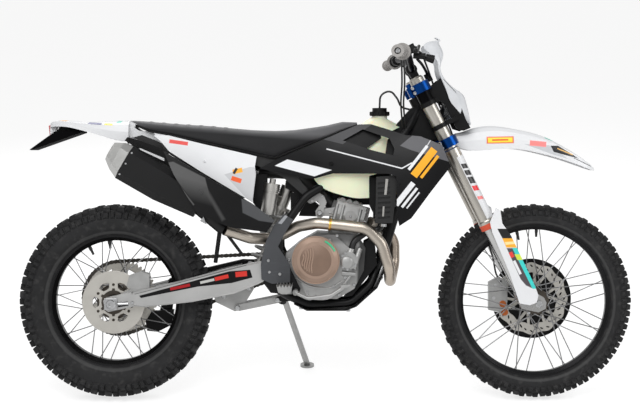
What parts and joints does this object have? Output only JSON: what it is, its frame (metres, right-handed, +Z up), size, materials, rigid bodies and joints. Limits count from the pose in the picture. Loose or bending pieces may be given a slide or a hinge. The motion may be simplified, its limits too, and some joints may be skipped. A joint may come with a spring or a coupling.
{
  "type": "motorcycle",
  "caption": "Trail motorcycle with a single cylinder, knobbly spoked wheels, high mudguards and a long flat seat, parked on its side stand.",
  "frame": {"origin": "on the ground, below the middle of the outline of the parked motorcycle", "axes": "+X forwards, +Y to the rider's left, +Z up; the motorcycle leans 11 degrees to its left on its side stand"},
  "size_m": [2.171, 0.8211, 1.2868],
  "materials": {
    "alloy": "cast, satin",
    "alloy_blue": "blue anodised",
    "bronze": "bronze metallic",
    "cast_grey": "cast, matt",
    "chain_steel": "oiled",
    "disc_steel": "ground",
    "fork_tube": "hard anodised",
    "frame_black": "satin black",
    "grip_rubber": "matt",
    "header_steel": "heat tinted",
    "hose_black": "matt",
    "hub_black": "black anodised",
    "lamp_glass": "clear",
    "lamp_red": "translucent red",
    "plastic_black": "matt black",
    "plastic_grey": "matt dark grey",
    "plastic_white": "gloss white",
    "rim_black": "black anodised",
    "seat_cover": "ribbed vinyl",
    "silencer_black": "satin black",
    "spoke_steel": "bright",
    "spring_white": "gloss",
    "tank_clear": "translucent natural plastic",
    "tyre_rubber": "matt knobbly rubber"
  },
  "bodies": {
    "chassis": {"main_frame": "frame_black", "frame_guards": "plastic_grey", "swingarm": "alloy", "drive_chain": "chain_steel", "chain_guide": "plastic_black", "shock_damper": "alloy", "shock_spring": "spring_white", "shock_linkage": "alloy", "rear_caliper": "cast_grey", "crankcase": "cast_grey", "engine_covers": "bronze", "cylinder": "cast_grey", "cylinder_head": "cast_grey", "throttle_body": "hose_black", "engine_hanger": "alloy", "hoses": "hose_black", "exhaust_header": "header_steel", "silencer": "silencer_black", "silencer_end_cap": "alloy", "seat": "seat_cover", "fuel_tank": "tank_clear", "tank_cap": "plastic_black", "tank_shrouds": "plastic_white", "radiators": "alloy", "side_panels": "plastic_white", "rear_fender": "plastic_white", "plate_holder": "plastic_black", "tail_lamp": "lamp_red", "airbox": "plastic_black", "exhaust_panel": "plastic_black", "skid_plate": "plastic_black", "footpegs": "alloy", "foot_controls": "alloy"},
    "steering": {"fork_outer_tubes": "fork_tube", "fork_sliders": "alloy", "triple_clamps": "alloy_blue", "handlebar": "frame_black", "grips": "grip_rubber", "bar_fittings": "frame_black", "hand_levers": "alloy", "headlamp_mask": "plastic_white", "mask_sides": "plastic_black", "headlamp": "lamp_glass", "front_fender": "plastic_white", "fork_guards": "plastic_white", "front_caliper": "cast_grey", "disc_guard": "plastic_black"},
    "front_wheel": {"front_tyre": "tyre_rubber", "front_rim": "rim_black", "front_hub": "hub_black", "front_spokes": "spoke_steel", "front_disc": "disc_steel"},
    "rear_wheel": {"rear_tyre": "tyre_rubber", "rear_rim": "rim_black", "rear_hub": "hub_black", "rear_spokes": "spoke_steel", "rear_disc": "disc_steel", "rear_sprocket": "disc_steel"},
    "side_stand": {"side_stand": "alloy"}
  },
  "joints": [
    {"name": "steering_turn", "type": "hinge", "parent": "chassis", "child": "steering", "pos_m": [0.358, -0.03995, 0.9777], "axis": [-0.4462, 0.1708, 0.8785], "range_deg": [-42, 42]},
    {"name": "front_wheel_spin", "type": "hinge", "parent": "steering", "child": "front_wheel", "pos_m": [0.7419, -0.16336, 0.34286], "axis": [0, 0.9816, -0.1908], "continuous": true},
    {"name": "rear_wheel_spin", "type": "hinge", "parent": "chassis", "child": "rear_wheel", "pos_m": [-0.74429, -0.16314, 0.34395], "axis": [0, 0.9816, -0.1908], "continuous": true},
    {"name": "side_stand_fold", "type": "hinge", "parent": "chassis", "child": "side_stand", "pos_m": [-0.155, -0.03757, 0.31915], "axis": [0.204, 0.8714, 0.4462], "range_deg": [0, 92]}
  ]
}
